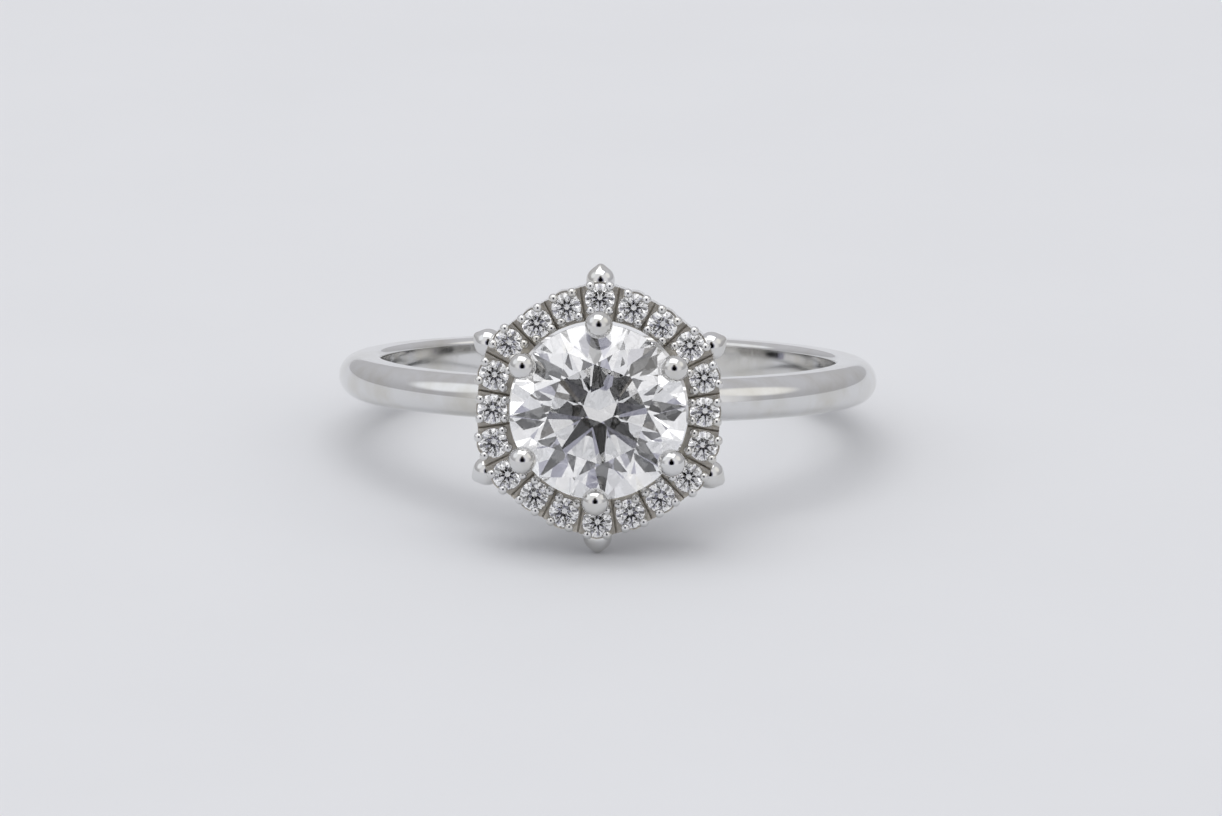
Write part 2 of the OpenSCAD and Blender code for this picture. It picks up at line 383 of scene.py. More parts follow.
def add_node(tree, kind, values=None, links=None, **options):
    """Add one node with its options, its input values and the sockets that feed it."""
    node = tree.nodes.new(kind)
    for key, value in options.items():
        setattr(node, key, value)
    for key, value in (values or {}).items():
        node.inputs[key].default_value = value
    for key, source in (links or {}).items():
        tree.links.new(source, node.inputs[key])
    return node


def new_material(name):
    """A material with an empty node tree."""
    material = bpy.data.materials.new(name)
    material.use_nodes = True
    material.node_tree.nodes.clear()
    return material, material.node_tree


def rgba(values):
    return (*values[:3], 1.0)


def polished_white_gold():
    """White gold, rhodium plated and buffed on a felt wheel.

    The plating gives a cool, mirror-like grey. Wear rubs it a little duller in soft patches a
    millimetre or two across, and a cloth leaves hairlines about 0.03 mm wide, which are drawn
    0.06 mm apart so that they show.
    """
    name = "white_gold_rhodium_polished"
    if name in bpy.data.materials:
        return bpy.data.materials[name]
    finishes = settings().finishes
    material, tree = new_material(name)
    place = add_node(tree, "ShaderNodeTexCoord")
    wear = add_node(tree, "ShaderNodeTexNoise", {"Scale": 1 / (1.6 * MM), "Detail": 3.0, "Roughness": 0.55},
                    {"Vector": place.outputs["Object"]})
    patches = add_node(tree, "ShaderNodeMapRange", {"From Min": 0.42, "From Max": 0.72},
                       {"Value": wear.outputs["Fac"]})
    stretch = add_node(tree, "ShaderNodeMapping", {"Rotation": (0.5, 0.3, 0.9), "Scale": (1.0, 14.0, 1.0)},
                       {"Vector": place.outputs["Object"]})
    hairlines = add_node(tree, "ShaderNodeTexNoise", {"Scale": 1 / (0.9 * MM), "Detail": 4.0, "Roughness": 0.6},
                         {"Vector": stretch.outputs["Vector"]})
    tone = add_node(tree, "ShaderNodeMix", {"A": rgba(finishes.gold), "B": rgba(finishes.gold_worn)},
                    {"Factor": patches.outputs["Result"]}, data_type="RGBA")
    dull = add_node(tree, "ShaderNodeMapRange", {"To Min": 0.06, "To Max": 0.13},
                    {"Value": patches.outputs["Result"]})
    lines = add_node(tree, "ShaderNodeMapRange", {"From Min": 0.5, "From Max": 0.75, "To Min": 0.0, "To Max": 0.06},
                     {"Value": hairlines.outputs["Fac"]})
    rough = add_node(tree, "ShaderNodeMath", None,
                     {0: dull.outputs["Result"], 1: lines.outputs["Result"]}, operation="ADD")
    bump = add_node(tree, "ShaderNodeBump", {"Strength": 0.05, "Distance": 0.004 * MM},
                    {"Height": hairlines.outputs["Fac"]})
    surface = add_node(tree, "ShaderNodeBsdfPrincipled", {"Metallic": 1.0},
                       {"Base Color": tone.outputs["Result"], "Roughness": rough.outputs["Value"],
                        "Normal": bump.outputs["Normal"]})
    add_node(tree, "ShaderNodeOutputMaterial", None, {"Surface": surface.outputs["BSDF"]})
    return material


def graver_cut_gold_with_painted_shade():
    """White gold between the small stones, cut bright with a graver and not buffed.

    Its darker, warmer colour is partly the tone of unplated gold and partly painted shade with a
    painted warm reflection. Each stroke of the graver leaves ripples about a tenth of a millimetre apart, which
    spread its reflections.
    """
    name = "white_gold_graver_cut"
    if name in bpy.data.materials:
        return bpy.data.materials[name]
    finishes = settings().finishes
    material, tree = new_material(name)
    place = add_node(tree, "ShaderNodeTexCoord")
    strokes = add_node(tree, "ShaderNodeTexNoise", {"Scale": 1 / (0.12 * MM), "Detail": 3.0, "Roughness": 0.6},
                       {"Vector": place.outputs["Object"]})
    # painted shade: the plate's face is coloured between the worn and cut tones, darker and warmer than the polished
    # gold
    tone = add_node(tree, "ShaderNodeMix", {"A": rgba(finishes.gold_worn), "B": rgba(finishes.gold_cut_and_painted_shade)},
                    {"Factor": strokes.outputs["Fac"]}, data_type="RGBA")
    rough = add_node(tree, "ShaderNodeMapRange", {"To Min": 0.3, "To Max": 0.46}, {"Value": strokes.outputs["Fac"]})
    bump = add_node(tree, "ShaderNodeBump", {"Strength": 0.8, "Distance": 0.02 * MM},
                    {"Height": strokes.outputs["Fac"]})
    surface = add_node(tree, "ShaderNodeBsdfPrincipled", {"Metallic": 1.0},
                       {"Base Color": tone.outputs["Result"], "Roughness": rough.outputs["Result"],
                        "Normal": bump.outputs["Normal"]})
    add_node(tree, "ShaderNodeOutputMaterial", None, {"Surface": surface.outputs["BSDF"]})
    return material


def polished_diamond():
    """Diamond, cut and polished on a cast-iron scaife: clear, colourless and very bright.

    Its facets are mirror flat, with polish lines so faint that they only soften a reflection.
    """
    name = "diamond_scaife_polished"
    if name in bpy.data.materials:
        return bpy.data.materials[name]
    material, tree = new_material(name)
    place = add_node(tree, "ShaderNodeTexCoord")
    lines = add_node(tree, "ShaderNodeTexNoise", {"Scale": 1 / (0.5 * MM), "Detail": 2.0},
                     {"Vector": place.outputs["Object"]})
    rough = add_node(tree, "ShaderNodeMapRange", {"To Min": 0.0, "To Max": 0.004}, {"Value": lines.outputs["Fac"]})
    surface = add_node(tree, "ShaderNodeBsdfPrincipled",
                       {"Base Color": (1.0, 1.0, 1.0, 1.0), "IOR": 2.417, "Transmission Weight": 1.0},
                       {"Roughness": rough.outputs["Result"]})
    add_node(tree, "ShaderNodeOutputMaterial", None, {"Surface": surface.outputs["BSDF"]})
    return material


def bruted_girdle():
    """The diamond's girdle, ground round against another diamond: fine grey-white frost."""
    name = "diamond_bruted_girdle"
    if name in bpy.data.materials:
        return bpy.data.materials[name]
    material, tree = new_material(name)
    place = add_node(tree, "ShaderNodeTexCoord")
    frost = add_node(tree, "ShaderNodeTexNoise", {"Scale": 1 / (0.05 * MM), "Detail": 2.0},
                     {"Vector": place.outputs["Object"]})
    rough = add_node(tree, "ShaderNodeMapRange", {"To Min": 0.35, "To Max": 0.6}, {"Value": frost.outputs["Fac"]})
    surface = add_node(tree, "ShaderNodeBsdfPrincipled",
                       {"Base Color": (1.0, 1.0, 1.0, 1.0), "IOR": 2.417, "Transmission Weight": 1.0},
                       {"Roughness": rough.outputs["Result"]})
    add_node(tree, "ShaderNodeOutputMaterial", None, {"Surface": surface.outputs["BSDF"]})
    return material


def pale_card():
    """Matt pale card under the ring, with the faint mottling of its pulp."""
    name = "floor_matt_card"
    if name in bpy.data.materials:
        return bpy.data.materials[name]
    material, tree = new_material(name)
    base = rgba(settings().finishes.floor)
    place = add_node(tree, "ShaderNodeTexCoord")
    pulp = add_node(tree, "ShaderNodeTexNoise", {"Scale": 1 / (9 * MM), "Detail": 3.0},
                    {"Vector": place.outputs["Object"]})
    tone = add_node(tree, "ShaderNodeMix", {"A": base, "B": tuple(c * 0.97 for c in base[:3]) + (1.0,)},
                    {"Factor": pulp.outputs["Fac"]}, data_type="RGBA")
    surface = add_node(tree, "ShaderNodeBsdfPrincipled", {"Roughness": 0.9, "Specular IOR Level": 0.2},
                       {"Base Color": tone.outputs["Result"]})
    add_node(tree, "ShaderNodeOutputMaterial", None, {"Surface": surface.outputs["BSDF"]})
    return material


# ---------------------------------------------------------------- shank

def drill(piece, radius, low, high, sides=96):
    """Take a round hole through a piece, along z between two levels."""
    tool = primitive(bpy.ops.mesh.primitive_cylinder_add, vertices=sides, radius=radius, depth=high - low,
                     location=(0, 0, (low + high) / 2))
    boolean(piece, tool, "DIFFERENCE")


class RING_OT_shank(bpy.types.Operator):
    """Spin the half-round shank, file the flat for the head and drill the hole for its peg"""

    bl_idname = "ring.shank"
    bl_label = "Shank"

    def execute(self, context):
        sizes = settings().shank
        width = mm(sizes.width)
        band = turned_band(mm(sizes.finger_r), mm(sizes.crest_r), width, mm(sizes.comfort_r), width / 2, sizes.steps)
        edit(band)
        bpy.ops.mesh.bisect(plane_co=(0, -seat_r(), 0), plane_no=(0, -1, 0), use_fill=True, clear_outer=True,
                            threshold=1e-5)
        leave_edit()
        peg_hole = primitive(bpy.ops.mesh.primitive_cylinder_add, vertices=48, radius=PEG_R + SOLDER_GAP, depth=3,
                             location=(0, -seat_r(), 0), rotation=(math.pi / 2, 0, 0))
        boolean(band, peg_hole, "DIFFERENCE")
        band.matrix_world = Matrix.Scale(MM, 4)
        apply_place(band)
        finish_piece(band, "Shank", ["shank"], [polished_white_gold()], smooth=32)
        return {"FINISHED"}


# ---------------------------------------------------------------- head

def seat_r():
    """From the finger's axis to the flat that the head stands on, in millimetres."""
    return mm(settings().shank.crest_r) - SEAT_CUT


def seat_z():
    return seat_r() - mm(settings().stones.girdle_height)


def base_top():
    return seat_z() + mm(settings().head.base_t)


def girdle_of(diameter):
    """Radius and half thickness of a stone's girdle, in millimetres."""
    return mm(diameter) / 2, mm(diameter) * settings().stones.girdle / 2


def corner_angle(i):
    return FIRST_CORNER - i * 360 / CORNERS


def claw_angle(i):
    return corner_angle(i) + CLAW_TURNS[i]


def melee_angle(i):
    return FIRST_CORNER - i * 360 / HALO_STONES


def melee_place(i):
    """Matrix that carries a small stone's own frame to its seat in the head."""
    head, stones = settings().head, settings().stones
    a = melee_angle(i)
    r = mm(head.halo_r) + mm(head.halo_swing) * math.cos(math.radians(CORNERS * (a - FIRST_CORNER)))
    return turn(a) @ Matrix.Translation((r, 0, mm(stones.melee_z)))


class RING_OT_head_base(bpy.types.Operator):
    """Turn the base disc and its peg, and trim the peg flush with the inside of the shank"""

    bl_idname = "ring.head_base"
    bl_label = "Head base"

    def execute(self, context):
        head = settings().head
        thick = mm(head.base_t)
        base = primitive(bpy.ops.mesh.primitive_cylinder_add, vertices=96, radius=mm(head.base_r), depth=thick,
                         location=(0, 0, seat_z() + thick / 2))
        edit(base)
        bpy.ops.mesh.select_mode(type="EDGE")
        bpy.ops.mesh.select_all(action="DESELECT")
        bpy.ops.mesh.edges_select_sharp(sharpness=math.radians(60))
        bpy.ops.mesh.bevel(offset=BASE_EDGE, segments=4)
        bpy.ops.mesh.select_mode(type="VERT")
        # the peg is drawn out of a ring inset in the bottom face
        mesh = bmesh.from_edit_mesh(base.data)
        for face in mesh.faces:
            face.select_set(face.normal.z < -0.99)
        bmesh.update_edit_mesh(base.data)
        bpy.ops.mesh.inset(thickness=mm(head.base_r) - BASE_EDGE - PEG_R)
        bpy.ops.mesh.extrude_region_move(TRANSFORM_OT_translate={"value": (0, 0, -PEG_LENGTH)})
        leave_edit()
        shank = settings().shank
        bore = primitive(bpy.ops.mesh.primitive_cylinder_add, vertices=shank.steps, radius=mm(shank.finger_r),
                         depth=6, location=(0, 0, -mm(settings().stones.girdle_height)),
                         rotation=(math.pi / 2, 0, 0))
        boolean(base, bore, "DIFFERENCE")
        base.matrix_world = on_head()
        apply_place(base)
        finish_piece(base, "Head_Base", ["head_base"], [polished_white_gold()], smooth=30)
        return {"FINISHED"}


class RING_OT_gallery_rail(bpy.types.Operator):
    """Spin the gallery rail from a half-round wire"""

    bl_idname = "ring.gallery_rail"
    bl_label = "Gallery rail"

    def execute(self, context):
        head = settings().head
        wire, middle = mm(head.rail_wire), mm(head.rail_r)
        rail = turned_band(middle - wire * 0.9, middle + wire * 0.95, wire * 1.9, wire * 0.35, wire * 0.9, 160)
        rail.matrix_world = on_head() @ Matrix.Translation((0, 0, RAIL_Z))
        apply_place(rail)
        finish_piece(rail, "Gallery_Rail", ["gallery_rail"], [polished_white_gold()], smooth=40)
        return {"FINISHED"}


def soft_hexagon(side_r, low, high):
    """Six wide round slabs cut down to what they share: a hexagon with bowed sides."""
    blank = None
    for k in range(CORNERS):
        slab = primitive(bpy.ops.mesh.primitive_cylinder_add, vertices=360, radius=side_r + HEXAGON_BOW,
                         depth=high - low, location=(-HEXAGON_BOW, 0, (low + high) / 2))
        slab.matrix_world = turn(FIRST_CORNER + (k + 0.5) * 360 / CORNERS)
        apply_place(slab)
        if blank is None:
            blank = slab
        else:
            boolean(blank, slab, "INTERSECT")
    return blank


def seat_cutter():
    """Setting burr and azure drill in one: a hole that widens to a countersink and a bright cut."""
    stones = settings().stones
    stone_r, g = girdle_of(stones.melee_d)
    r = stone_r + SEAT_GAP
    cone_top = -g - SOLDER_GAP
    cone_h = (r - AZURE_R) * math.tan(stones.pavilion)
    shaft = 1.5
    tool = primitive(bpy.ops.mesh.primitive_circle_add, vertices=40, radius=AZURE_R, fill_type="NGON",
                     location=(0, 0, cone_top - shaft))
    edit(tool)
    bpy.ops.mesh.extrude_region_move(TRANSFORM_OT_translate={"value": (0, 0, shaft - cone_h)})
    bpy.ops.mesh.extrude_region_move(TRANSFORM_OT_translate={"value": (0, 0, cone_h)})
    bpy.ops.transform.resize(value=(r / AZURE_R, r / AZURE_R, 1), center_override=(0, 0, cone_top))
    bpy.ops.mesh.extrude_region_move(TRANSFORM_OT_translate={"value": (0, 0, 1)})
    leave_edit()
    tidy_mesh(tool)
    return tool


def groove_cutter(plate_top):
    """A knife-edged bar that parts two small stones."""
    head = settings().head
    inner_end = mm(head.halo_bore_r) - GROOVE_START
    floor = plate_top - GROOVE_DEPTH
    tool = primitive(bpy.ops.mesh.primitive_cube_add, (GROOVE_LENGTH, mm(head.groove), 1), size=1,
                     location=(inner_end + GROOVE_LENGTH / 2, 0, floor + 0.5))
    edit(tool)
    pick(tool, lambda co: co.z < floor + 0.1)
    bpy.ops.transform.resize(value=(1, GROOVE_ROOT, 1), center_override=(0, 0, 0))
    leave_edit()
    return tool


class RING_OT_halo_plate(bpy.types.Operator):
    """Cut the halo plate: bowed hexagon, scallops, opening, stone seats and parting grooves"""

    bl_idname = "ring.halo_plate"
    bl_label = "Halo plate"

    def execute(self, context):
        head, stones = settings().head, settings().stones
        top = mm(stones.melee_z) - PLATE_DROP
        bottom = top - mm(head.plate_t)
        plate = soft_hexagon(mm(head.halo_r) - mm(head.halo_swing) + SIDE_WALL, bottom, top)

        scallop = primitive(bpy.ops.mesh.primitive_cylinder_add, vertices=48,
                            radius=mm(stones.melee_d) / 2 + SCALLOP_WALL, depth=top - bottom,
                            location=(0, 0, (top + bottom) / 2 - mm(stones.melee_z)))
        scallops = join([duplicate(scallop, melee_place(i)) for i in range(HALO_STONES)])
        bpy.data.objects.remove(scallop, do_unlink=True)
        boolean(plate, scallops, "UNION")
        outline_r = max(vertex.co.xy.length for vertex in plate.data.vertices)
        # the outer edges are broken with a file
        tidy_mesh(plate, 1e-3)
        edit(plate)
        bpy.ops.mesh.select_mode(type="EDGE")
        bpy.ops.mesh.select_all(action="DESELECT")
        bpy.ops.mesh.edges_select_sharp(sharpness=math.radians(60))
        mesh = bmesh.from_edit_mesh(plate.data)
        for edge in mesh.edges:
            level = edge.verts[0].co.z + edge.verts[1].co.z
            edge.select_set(edge.select and (level > 2 * top - 1e-3 or level < 2 * bottom + 1e-3))
        bmesh.update_edit_mesh(plate.data)
        bpy.ops.mesh.bevel(offset=BROKEN_EDGE, segments=3, clamp_overlap=True)
        leave_edit()

        bore_r = mm(head.halo_bore_r)
        drill(plate, bore_r, bottom - 1, top + 1, sides=180)
        past = 0.05    # the chamfer's cone goes on past both of its edges
        chamfer = primitive(bpy.ops.mesh.primitive_cone_add, vertices=180, radius1=bore_r - past,
                            radius2=bore_r + LIP + past, depth=LIP + 2 * past, location=(0, 0, top - LIP / 2))
        boolean(plate, chamfer, "DIFFERENCE")

        burr = seat_cutter()
        burrs = join([duplicate(burr, melee_place(i)) for i in range(HALO_STONES)])
        bpy.data.objects.remove(burr, do_unlink=True)
        boolean(plate, burrs, "DIFFERENCE")

        bar = groove_cutter(top)
        # in two lots, because bars that meet inside one boolean can leave one of them behind
        for first in (0, 1):
            bars = join([duplicate(bar, turn(melee_angle(i + 0.5))) for i in range(first, HALO_STONES, 2)])
            boolean(plate, bars, "DIFFERENCE")
        bpy.data.objects.remove(bar, do_unlink=True)
        if max(vertex.co.xy.length for vertex in plate.data.vertices) > outline_r:
            raise RuntimeError("a groove's bar was left in the halo plate")

        # the graver reaches only the front, so the walls and the back keep their plating; the front's darker cut
        # colour is also painted shade
        plated_below = top - GRAVER_REACH
        slots = [int(face.center.z < plated_below) for face in plate.data.polygons]
        plate.matrix_world = on_head()
        apply_place(plate)
        finish_piece(plate, "Halo_Plate", ["halo_plate"],
                     [graver_cut_gold_with_painted_shade(), polished_white_gold()], smooth=28)
        plate.data.polygons.foreach_set("material_index", slots)
        return {"FINISHED"}


class RING_OT_beads(bpy.types.Operator):
    """Raise the bead prongs, two outside and two inside each small stone"""

    bl_idname = "ring.beads"
    bl_label = "Bead prongs"

    def execute(self, context):
        head = settings().head
        r = mm(head.bead_r)
        bead = primitive(bpy.ops.mesh.primitive_uv_sphere_add, segments=20, ring_count=10, radius=r,
                         location=(0, 0, 0))
        edit(bead)
        # the graver leaves a bead standing on a short stem
        stem_top = -0.2 * r
        pick(bead, lambda co: co.z < stem_top)
        bpy.ops.transform.resize(value=(1.0, 1.0, 1.5), center_override=(0, 0, stem_top))
        leave_edit()
        out_from_stone = Matrix.Translation((BEAD_FROM_STONE, 0, -BEAD_DROP))
        for name, node, toward, spread in (("Outer_Beads", "outer_beads", 0, OUTER_BEAD_SPREAD),
                                           ("Inner_Beads", "inner_beads", 180, INNER_BEAD_SPREAD)):
            row = []
            for i in range(HALO_STONES):
                for side in (-1, 1):
                    row.append(duplicate(bead, melee_place(i) @ turn(toward + side * spread) @ out_from_stone))
            beads = join(row)
            beads.matrix_world = on_head()
            apply_place(beads)
            finish_piece(beads, name, [node], [polished_white_gold()], smooth=60)
        bpy.data.objects.remove(bead, do_unlink=True)
        return {"FINISHED"}


def stone_envelope(r, g, gap):
    """A turned shape that just clears a brilliant, for cutting its seat in the claws."""
    stones = settings().stones
    table_r = r * stones.table
    crown_h = (r - table_r) * math.tan(stones.crown)
    # it starts as a small disc at the culet, and is drawn up level by level
    radius, level = 0.02, -g - gap - r * math.tan(stones.pavilion)
    tool = primitive(bpy.ops.mesh.primitive_circle_add, vertices=96, radius=radius, fill_type="NGON",
                     location=(0, 0, level))
    edit(tool)
    for next_r, next_z in ((r + gap, -g - gap), (r + gap, g + gap), (table_r + gap, g + gap + crown_h)):
        bpy.ops.mesh.extrude_region_move(TRANSFORM_OT_translate={"value": (0, 0, next_z - level)})
        bpy.ops.transform.resize(value=(next_r / radius, next_r / radius, 1), center_override=(0, 0, next_z))
        radius, level = next_r, next_z
    leave_edit()
    tidy_mesh(tool, 1e-5)
    return tool


class RING_OT_claws(bpy.types.Operator):
    """Draw one claw wire from the base, bend it upright, melt its ball and copy it round"""

    bl_idname = "ring.claws"
    bl_label = "Claws"

    def execute(self, context):
        head, stones = settings().head, settings().stones
        foot = Vector((CLAW_FOOT_X, 0, base_top() - CLAW_SINK))
        knee = Vector(CLAW_KNEE)
        lean = (knee - foot).normalized()
        slope = math.atan2(lean.x, lean.z)
        tangent = CLAW_BEND_R * math.tan(slope / 2)
        claw = primitive(bpy.ops.mesh.primitive_circle_add, vertices=40, radius=mm(head.claw_r), fill_type="NGON",
                         location=foot, rotation=(0, slope, 0))
        edit(claw)
        bpy.ops.mesh.extrude_region_move(TRANSFORM_OT_translate={"value": (knee - foot) - lean * tangent})
        bpy.ops.mesh.spin(steps=8, angle=slope, center=(knee.x - CLAW_BEND_R, 0, knee.z + tangent), axis=(0, 1, 0))
        bpy.ops.mesh.extrude_region_move(TRANSFORM_OT_translate={"value": (0, 0, CLAW_TOP - knee.z - tangent)})
        leave_edit()
        tidy_mesh(claw)
        ball = primitive(bpy.ops.mesh.primitive_uv_sphere_add, segments=64, ring_count=32, radius=mm(head.ball_r),
                         location=BALL_AT)
        boolean(claw, ball, "UNION")
        boolean(claw, stone_envelope(*girdle_of(stones.centre_d), STONE_CLEARANCE), "DIFFERENCE")
        for i in range(CORNERS):
            copy = duplicate(claw, on_head() @ turn(claw_angle(i)))
            finish_piece(copy, f"Claw_{i + 1}", [f"claw_{i + 1}"], [polished_white_gold()], smooth=35)
        bpy.data.objects.remove(claw, do_unlink=True)
        return {"FINISHED"}


class RING_OT_petals(bpy.types.Operator):
    """Shape one corner petal, a curved strut with a rounded, pointed tip, and copy it round"""

    bl_idname = "ring.petals"
    bl_label = "Corner petals"

    def execute(self, context):
        head = settings().head
        start = Vector((PETAL_START_X, 0, base_top() - PETAL_SINK))
        run = Vector(PETAL_END) - start
        half_sweep = math.atan2(run.z, run.x) - PETAL_SLOPE
        arc_r = run.length / (2 * math.sin(half_sweep))
        centre = start + arc_r * Vector((-math.sin(PETAL_SLOPE), 0, math.cos(PETAL_SLOPE)))
        petal = primitive(bpy.ops.mesh.primitive_plane_add, (mm(head.petal_t), mm(head.petal_w), 1), size=1,
                          location=start, rotation=(0, math.pi / 2 - PETAL_SLOPE, 0))
        edit(petal)
        bpy.ops.mesh.bevel(offset=PETAL_EDGE, segments=5, affect="VERTICES")
        bpy.ops.mesh.select_all(action="SELECT")
        bpy.ops.mesh.spin(steps=28, angle=2 * half_sweep, center=centre, axis=(0, 1, 0))
        leave_edit()
        tidy_mesh(petal)

        point_at = (mm(head.petal_reach) - POINT_R, 0, NUB_AT[2])
        nub = join([primitive(bpy.ops.mesh.primitive_uv_sphere_add, segments=64, ring_count=32, radius=radius,
                              location=at, rotation=(0, math.pi / 2, 0))
                    for radius, at in ((NUB_R, NUB_AT), (POINT_R, point_at))])
        edit(nub)
        bpy.ops.mesh.convex_hull()
        leave_edit()
        tidy_mesh(nub)
        boolean(petal, nub, "UNION")
        for i in range(CORNERS):
            copy = duplicate(petal, on_head() @ turn(corner_angle(i)))
            finish_piece(copy, f"Corner_Petal_{i + 1}", [f"corner_petal_{i + 1}"],
                         [polished_white_gold()], smooth=35)
        bpy.data.objects.remove(petal, do_unlink=True)
        return {"FINISHED"}


# ---------------------------------------------------------------- stones

def brilliant(r, g, sides):
    """Cut a round brilliant from a turned blank, facet by facet, with a main at 0 degrees."""
    stones = settings().stones
    step = 2 * math.pi / MAINS
    table_r = r * stones.table
    crown_h = (r - table_r) * math.tan(stones.crown)
    table_edge = table_r * math.cos(step / 2)
    star_r = table_edge + stones.star * (r - table_edge)
    star_h = (r - star_r * math.cos(step / 2)) * math.tan(stones.crown)
    star_slope = math.atan((crown_h - star_h) / (star_r - table_edge))
    upper_slope = math.atan(star_h / ((r - star_r) * math.cos(step / 4)))
    lower_r = r * (1 - stones.lower)
    lower_h = (r - lower_r * math.cos(step / 2)) * math.tan(stones.pavilion)
    lower_slope = math.atan(lower_h / ((r - lower_r) * math.cos(step / 4)))
    depth = r * math.tan(stones.pavilion)
    stone = primitive(bpy.ops.mesh.primitive_cylinder_add, vertices=sides, radius=r, depth=2 * g + crown_h + depth,
                      location=(0, 0, (crown_h - depth) / 2))
    edit(stone)

    def facet(azimuth, slope, at_r, at_z, down=False):
        side = -1 if down else 1
        across = Vector((math.cos(azimuth), math.sin(azimuth), 0))
        bpy.ops.mesh.select_all(action="SELECT")
        bpy.ops.mesh.bisect(plane_co=across * at_r + Vector((0, 0, side * at_z)),
                            plane_no=across * math.sin(slope) + Vector((0, 0, side * math.cos(slope))),
                            use_fill=True, clear_outer=True, threshold=r * 1e-6)

    for k in range(MAINS):
        facet(k * step, stones.crown, r, g)
        facet(k * step, stones.pavilion, r, g, down=True)
    for k in range(MAINS):
        facet((k + 0.5) * step, star_slope, table_edge, g + crown_h)
        for side in (-1, 1):
            facet(k * step + side * step / 4, upper_slope, r * math.cos(step / 4), g)
            facet(k * step + side * step / 4, lower_slope, r * math.cos(step / 4), g, down=True)
    leave_edit()
    # the girdle's faces are the upright ones, and they have the second material
    for face in stone.data.polygons:
        face.material_index = 1 if abs(face.normal.z) < 0.05 else 0
    return stone


class RING_OT_centre_stone(bpy.types.Operator):
    """Cut the centre stone and set it, turned a little, between the claws"""

    bl_idname = "ring.centre_stone"
    bl_label = "Centre stone"

    def execute(self, context):
        stones = settings().stones
        stone = brilliant(*girdle_of(stones.centre_d), sides=128)
        stone.matrix_world = on_head() @ turn(FIRST_CORNER + math.degrees(stones.turn))
        apply_place(stone)
        slots = [face.material_index for face in stone.data.polygons]
        finish_piece(stone, "Centre_Stone", ["centre_stone"], [polished_diamond(), bruted_girdle()])
        stone.data.polygons.foreach_set("material_index", slots)
        return {"FINISHED"}


class RING_OT_halo_stones(bpy.types.Operator):
    """Cut one small brilliant and set a copy in every seat of the halo"""

    bl_idname = "ring.halo_stones"
    bl_label = "Halo stones"

    def execute(self, context):
        stone = brilliant(*girdle_of(settings().stones.melee_d), sides=48)
        slots = [face.material_index for face in stone.data.polygons]
        for i in range(HALO_STONES):
            # a setter drops each stone in as it comes, so no two face quite the same way: each leans
            # by 1.5 to 3.5 degrees, towards its own side, and is turned by up to one main
            lean = turn(i * 137) @ Matrix.Rotation(math.radians(1.5 + i * 7 % 5 * 0.5), 4, "X")
            copy = duplicate(stone, on_head() @ melee_place(i) @ lean @ turn(i * 17 % 45))
            number = f"{i + 1:02d}"
            finish_piece(copy, f"Halo_Stone_{number}", [f"halo_stone_{number}"],
                         [polished_diamond(), bruted_girdle()])
            copy.data.polygons.foreach_set("material_index", slots)
        bpy.data.objects.remove(stone, do_unlink=True)
        return {"FINISHED"}


# ---------------------------------------------------------------- stage

def camera_axes():
    """The camera's right, up and back directions, with its roll."""
    studio = settings().studio
    az, el, roll = studio.azimuth, studio.elevation, studio.roll
    forward = Vector((-math.sin(az) * math.cos(el), math.cos(az) * math.cos(el), -math.sin(el)))
    right = Vector((math.cos(az), math.sin(az), 0))
    up = right.cross(forward)
    return (right * math.cos(roll) + up * math.sin(roll), up * math.cos(roll) - right * math.sin(roll), -forward)


def patch(tree, ray, towards, inner, outer):
    """How far a ray falls inside a round patch of the room, from 1 within inner degrees to 0 past outer."""
    aim = Vector(towards).normalized()
    near = add_node(tree, "ShaderNodeVectorMath", {1: aim}, {0: ray}, operation="DOT_PRODUCT")
    edge = add_node(tree, "ShaderNodeMapRange",
                    {"From Min": math.cos(math.radians(outer)), "From Max": math.cos(math.radians(inner))},
                    {"Value": near.outputs["Value"]}, interpolation_type="SMOOTHSTEP")
    return edge.outputs["Result"]


